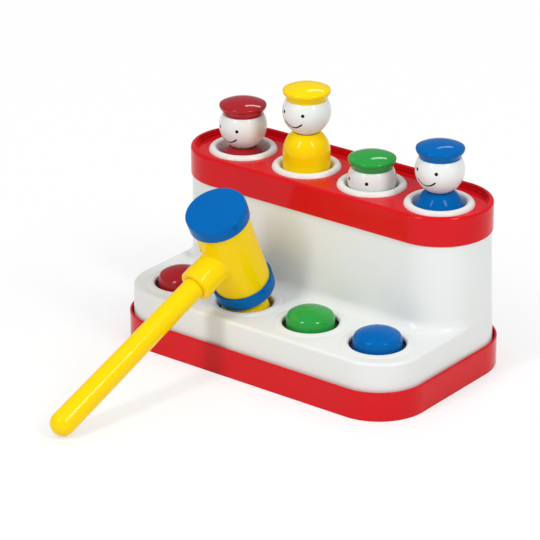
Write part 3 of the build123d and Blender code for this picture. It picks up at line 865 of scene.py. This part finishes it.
# ------------------------------------------------------------------ hammer
@dataclass
class Hammer:
    """Yellow hammer with two blue striking caps; the handle runs along -Y from the head."""

    workshop: Workshop
    centre: tuple[float, float, float] = (-32.6, -58.1, 97.6)
    tilt: float = 25.5             # degrees about X, which lowers the handle's end
    yaw: float = -5.9              # degrees about Z
    roll: float = 3.5              # degrees about Y
    barrel_radius: float = 22.8
    cap_radius: float = 24.8
    half_length: float = 44.6      # from the barrel's middle to a striking face
    cap_height: float = 12.1
    cap_edge: float = 1.7
    cap_lead: float = 0.3          # chamfer that leads the cap onto the barrel
    cap_face: float = 3.0
    socket_radius: float = 13.7
    socket_reach: float = 44.6     # from the barrel's axis to the socket's mouth
    socket_edge: float = 1.5
    socket_lead: float = 0.5       # rounding that leads the handle into its bore
    socket_root: float = 3.2       # radius of the hollow blend between socket and barrel
    root_sink: float = 0.03        # how far the blend's edges lie under the surfaces
    root_back: float = 1.0         # how far its hidden back lies inside them
    gate_radius: float = 1.1       # mark that the mould's gate leaves on the barrel
    gate_rise: float = 0.16
    gate_crest: float = 0.7        # share of the radius at which the mark is highest
    gate_dimple: float = 0.02      # height of its middle
    gate_slope: float = 0.2        # how steeply it starts to fall to its middle
    gate_angle: float = -10.0      # round the barrel from +X, degrees
    gate_height: float = 16.25     # above the barrel's middle
    handle_radius: float = 8.9
    handle_end_radius: float = 10.1
    handle_reach: float = 201.3    # from the barrel's axis to where the round end starts
    handle_depth: float = 24.0     # of the bore that holds the handle
    fit: float = 0.1

    def rest(self) -> Matrix:
        """Work out where the hammer lies on the toy.

        Returns:
            Its place, in millimetres.
        """
        turns = [Matrix.Rotation(math.radians(angle), 4, axis) for angle, axis in
                 ((self.yaw, "Z"), (self.tilt, "X"), (self.roll, "Y"))]
        return Matrix.Translation(self.centre) @ turns[0] @ turns[1] @ turns[2]

    def cap(self) -> Section:
        """Draw the striking cap over the upper end of the barrel, with a rounded rim.

        Returns:
            The half section.
        """
        low, top = self.half_length - self.cap_height, self.half_length
        bore, outer, edge = self.barrel_radius + self.fit, self.cap_radius, self.cap_edge
        drawn = Section((0, top - self.cap_face), (bore, top - self.cap_face),
                        (bore, low + self.cap_lead))
        drawn.to((bore + self.cap_lead, low), (outer - edge / 2, low))
        drawn.bend((outer, low + edge / 2), (1, 0), EDGE_STEPS).to((outer, top - edge))
        return drawn.bend((outer - edge, top), (0, 1), RIM_STEPS).to((0, top))

    def barrel(self) -> Section:
        """Draw the plain barrel between the caps' faces.

        Returns:
            The half section.
        """
        half = self.half_length - self.cap_face - self.fit
        return Section((0, -half), (self.barrel_radius, -half), (self.barrel_radius, half),
                       (0, half))

    def handle(self) -> Section:
        """Draw the handle: a straight tenon, then a grip that swells towards its round end.

        Returns:
            The half section.
        """
        start = self.socket_reach - self.handle_depth + self.fit
        end = self.handle_reach + self.handle_end_radius
        drawn = Section((0, start), (self.handle_radius, start),
                        (self.handle_radius, self.socket_reach),
                        (self.handle_end_radius, self.handle_reach))
        return drawn.bend((0, end), (0, 1), 3 * ARC_STEPS)

    def socket(self) -> Section:
        """Draw the handle's socket, sunk into the barrel at its root.

        Returns:
            The half section.
        """
        bore, reach, edge = self.handle_radius + self.fit, self.socket_reach, self.socket_edge
        outer = self.socket_radius
        drawn = Section((0, 0), (outer, 0), (outer, reach - edge))
        drawn.bend((outer - edge, reach), (0, 1), EDGE_STEPS)
        drawn.to((bore + self.socket_lead, reach))
        drawn.bend((bore, reach - self.socket_lead), (-1, 0), FINE_STEPS)
        return drawn.to((bore, reach - self.handle_depth), (0, reach - self.handle_depth))

    def root(self, place: Matrix) -> bmesh.types.BMesh:
        """Roll the hollow blend that lets the socket grow out of the barrel.

        A ball rolls round the socket while it touches the barrel. The blend is what the ball
        leaves, as a closed ring whose back lies inside the two.

        Args:
            place: where the socket's foot and axis go, in millimetres.

        Returns:
            The ring, in metres.
        """
        ball, steps = self.socket_root, ARC_STEPS
        out, wide = self.socket_radius + ball, self.barrel_radius + ball
        ring, rows = bmesh.new(), []
        for i in range(ROUND_STEPS):
            across, along = (f(2 * math.pi * i / ROUND_STEPS) for f in (math.cos, math.sin))
            rise = math.sqrt(wide ** 2 - (out * across) ** 2)
            centre = Vector((out * across, out * along, rise))
            first = Vector((-across, -along, 0))
            last = Vector((-out * across / wide, 0, -rise / wide))
            row = []
            for j in range(steps + 1):
                sink = self.root_sink if j in (0, steps) else 0.0
                row.append(centre + first.slerp(last, j / steps) * (ball + sink))
            back = self.socket_radius - self.root_back
            depth = math.sqrt(self.barrel_radius ** 2 - (back * across) ** 2) - self.root_back
            row.append(Vector((back * across, back * along, depth)))
            rows.append([ring.verts.new(place @ point * MM) for point in row])
        for one, two in zip(rows, rows[1:] + rows[:1]):
            for j, start in enumerate(one):
                k = (j + 1) % len(one)
                ring.faces.new((start, one[k], two[k], two[j]))
        bmesh.ops.recalc_face_normals(ring, faces=ring.faces[:])
        return ring

    def gate(self, rest: Matrix) -> bpy.types.Object:
        """Make the low round mark where the barrel's mould was filled.

        Args:
            rest: where the hammer lies, in millimetres.

        Returns:
            The finished piece.
        """
        turn = math.radians(self.gate_angle)
        way = Vector((math.cos(turn), math.sin(turn), 0))
        spot = way * self.barrel_radius + Vector((0, 0, self.gate_height))
        place = rest @ Matrix.Translation(spot) @ way.to_track_quat("Z", "Y").to_matrix(
            ).to_4x4()
        drawn = Section((0, -self.gate_rise), (self.gate_radius, -self.gate_rise),
                        (self.gate_radius, 0))
        drawn.bend((self.gate_radius * self.gate_crest, self.gate_rise), (0, 1), NOTCH_STEPS)
        drawn.bend((0, self.gate_dimple), (-1, -self.gate_slope), DIMPLE_STEPS)
        return self.workshop.turn("gate_mark", drawn, YELLOW, place, facets=GATE_STEPS)

    def build(self) -> None:
        """Make the hammer's pieces where it lies."""
        rest, turn = self.rest(), self.workshop.turn
        over = rest @ Matrix.Rotation(math.pi, 4, "X")
        along = rest @ Matrix.Rotation(math.pi / 2, 4, "X")
        seat(turn("striking_cap_upper", self.cap(), BLUE, rest), "hammer", "blue",
             "hammer_cap_upper")
        seat(turn("striking_cap_lower", self.cap(), BLUE, over), "hammer", "blue",
             "hammer_cap_lower")
        seat(turn("handle_grip", self.handle(), YELLOW, along), "hammer", "yellow",
             "hammer_handle")
        barrel = turn("barrel_with_socket", self.barrel(), YELLOW, rest)
        socket = turn("socket_stub", self.socket(), YELLOW, along)
        join = barrel.modifiers.new("join", "BOOLEAN")
        join.operation, join.solver, join.object = "UNION", "EXACT", socket
        settle(barrel)
        bpy.data.objects.remove(socket)
        whole = self.root(along)
        whole.from_mesh(barrel.data)
        whole.to_mesh(barrel.data)
        whole.free()
        barrel.data.shade_smooth()
        barrel.data.set_sharp_from_angle(angle=SHARP)
        seat(barrel, "hammer", "yellow", "hammer_head")
        seat(self.gate(rest), "hammer", "yellow")


# ------------------------------------------------------------------ surroundings
@dataclass(frozen=True)
class SoftBox:
    """A rectangular lamp that looks at the toy."""

    name: str
    yaw: float                     # round the toy from -Y towards +X, degrees
    pitch: float                   # degrees above level
    size: Point                    # width and height
    power: float                   # watts
    roll: float = 0.0              # turn about the line to the toy, degrees
    mirrored: bool = True          # whether it shows in the toy's gloss
    distance: float = 1900.0


# Two tall boxes in front draw the upright highlights and a strip behind draws the fine line on
# each crown. The ceiling only lights, because so wide a lamp would veil the colours.
SOFT_BOXES = (
    SoftBox("front_left_box", -10.0, 40.0, (300.0, 900.0), 12.0),
    SoftBox("front_right_box", 77.0, 40.0, (300.0, 900.0), 13.0),
    SoftBox("rear_strip", -159.0, 49.0, (720.0, 150.0), 3.0, roll=45.0),
    SoftBox("ceiling_box", 0.0, 89.0, (2500.0, 2500.0), 11.0, mirrored=False),
)


@dataclass
class Studio:
    """Pale floor, soft lamps and the camera."""

    floor_size: float = 12000.0
    target: tuple[float, float, float] = (-5.27, -22.49, 77.88)
    yaw: float = 37.73             # round the toy from -Y towards +X, degrees
    pitch: float = 23.27           # degrees above level
    roll: float = -0.08            # degrees
    distance: float = 2378.5
    sensor: float = 36.0
    lens: float = 200.44
    shift: Point = (-0.02954, -0.00589)    # of the frame, as a share of its width
    shadow_middle: tuple[float, float, float] = (0.0, -90.0, 0.0)
    shadow_reach: Point = (200.0, 390.0)   # where the toy's shadow starts and ends to fade
    floor_glow: Point = (0.6, 0.97)        # share of pure white near the toy and far away
    paper_lit: str = "#EFEFEF"     # colour with which the floor lights the toy
    paper_seen: str = "#FDFDFD"    # colour that the camera, gloss and glass see
    white: str = "#FFFFFF"         # the light's own colour
    room: float = 0.35             # strength of the even light
    view_depth: float = 20000.0    # how far the camera sees

    def back(self, yaw: float, pitch: float) -> Vector:
        """Find the direction from the toy towards a place round it.

        Args:
            yaw: degrees round the toy from -Y towards +X.
            pitch: degrees above level.

        Returns:
            The direction, of length 1.
        """
        aside, rise = math.radians(yaw), math.radians(pitch)
        return Vector((math.sin(aside) * math.cos(rise), -math.cos(aside) * math.cos(rise),
                       math.sin(rise)))

    def camera(self) -> None:
        """Set the camera at its place and make it the scene's own."""
        held = bpy.data.cameras.new("view")
        held.sensor_width, held.lens = self.sensor, self.lens
        held.shift_x, held.shift_y = self.shift
        held.clip_end = self.view_depth * MM
        eye = bpy.data.objects.new("view", held)
        bpy.context.scene.collection.objects.link(eye)
        back = self.back(self.yaw, self.pitch)
        turn = back.to_track_quat("Z", "Y").to_matrix().to_4x4()
        spin = Matrix.Rotation(math.radians(self.roll), 4, "Z")
        eye.matrix_world = Matrix.Translation(
            (Vector(self.target) + back * self.distance) * MM) @ turn @ spin
        bpy.context.scene.camera = eye

    def lamp(self, box: SoftBox) -> None:
        """Hang a soft box.

        Args:
            box: the soft box.
        """
        light = bpy.data.lights.new(box.name, "AREA")
        light.shape, light.energy = "RECTANGLE", box.power
        light.size, light.size_y = (side * MM for side in box.size)
        hung = bpy.data.objects.new(box.name, light)
        bpy.context.scene.collection.objects.link(hung)
        way = self.back(box.yaw, box.pitch)
        place = Matrix.Translation((Vector(self.target) + way * box.distance) * MM)
        turn = way.to_track_quat("Z", "Y").to_matrix().to_4x4()
        hung.matrix_world = place @ turn @ Matrix.Rotation(math.radians(box.roll), 4, "Z")
        hung.visible_glossy = box.mirrored

    def floor(self) -> None:
        """Lay the pale floor, which is pure white far away and keeps the toy's shadow near it."""
        half = self.floor_size / 2 * MM
        mesh = bpy.data.meshes.new("floor")
        mesh.from_pydata([(-half, -half, 0), (half, -half, 0), (half, half, 0), (-half, half, 0)],
                         [], [(0, 1, 2, 3)])
        made = bpy.data.materials.new("pale_floor")
        made.use_nodes = True
        tree = made.node_tree
        tree.nodes.clear()
        path = add(tree, "ShaderNodeLightPath")
        seen = add(tree, "ShaderNodeMath", {"operation": "ADD", "use_clamp": True},
                   {0: path.outputs["Is Camera Ray"], 1: path.outputs["Is Glossy Ray"]})
        seen = add(tree, "ShaderNodeMath", {"operation": "ADD", "use_clamp": True},
                   {0: seen.outputs["Value"], 1: path.outputs["Is Transmission Ray"]})
        paper = add(tree, "ShaderNodeMix", {"data_type": "RGBA"},
                    {"Factor": seen.outputs["Value"], 6: linear(self.paper_lit),
                     7: linear(self.paper_seen)})
        matt = add(tree, "ShaderNodeBsdfDiffuse", None, {"Color": paper.outputs[2]})
        glow = add(tree, "ShaderNodeEmission", None, {"Color": linear(self.white)})
        place = add(tree, "ShaderNodeTexCoord").outputs["Object"]
        away = add(tree, "ShaderNodeVectorMath", {"operation": "DISTANCE"},
                   {0: place, 1: Vector(self.shadow_middle) * MM})
        fade = add(tree, "ShaderNodeMapRange", {"interpolation_type": "SMOOTHSTEP"},
                   {"Value": away.outputs["Value"], "From Min": self.shadow_reach[0] * MM,
                    "From Max": self.shadow_reach[1] * MM, "To Min": self.floor_glow[0],
                    "To Max": self.floor_glow[1]})
        lift = add(tree, "ShaderNodeMath", {"operation": "MULTIPLY"},
                   {0: seen.outputs["Value"], 1: fade.outputs["Result"]})
        mix = add(tree, "ShaderNodeMixShader", None,
                  {0: lift.outputs["Value"], 1: matt.outputs["BSDF"],
                   2: glow.outputs["Emission"]})
        add(tree, "ShaderNodeOutputMaterial", None, {"Surface": mix.outputs["Shader"]})
        made.cycles.emission_sampling = "NONE"
        mesh.materials.append(made)
        floor = bpy.data.objects.new("floor", mesh)
        bpy.context.scene.collection.objects.link(floor)

    def sky(self) -> None:
        """Give the room its even white light."""
        world = bpy.data.worlds.new("white_room")
        bpy.context.scene.world = world
        world.use_nodes = True
        shade = world.node_tree.nodes["Background"]
        shade.inputs["Color"].default_value = linear(self.white)
        shade.inputs["Strength"].default_value = self.room

    def build(self) -> None:
        """Set up the floor, the light and the camera."""
        self.floor()
        self.sky()
        self.camera()
        for box in SOFT_BOXES:
            self.lamp(box)
        bpy.context.scene.view_settings.view_transform = "Standard"


# ------------------------------------------------------------------ everything
def main() -> None:
    """Build every piece, light the toy and set the camera."""
    logging.basicConfig(level=logging.INFO, format="%(name)s: %(message)s")
    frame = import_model()
    workshop = Workshop()
    Base(frame["nodes"]).build()
    GuideCollars(workshop).build()
    for paint in Paint:
        PegPerson(workshop, paint, *FACE_TURN[paint]).build()
        DomedButton(workshop, paint).build()
    Hammer(workshop).build()
    Studio().build()


if __name__ == "__main__":
    main()
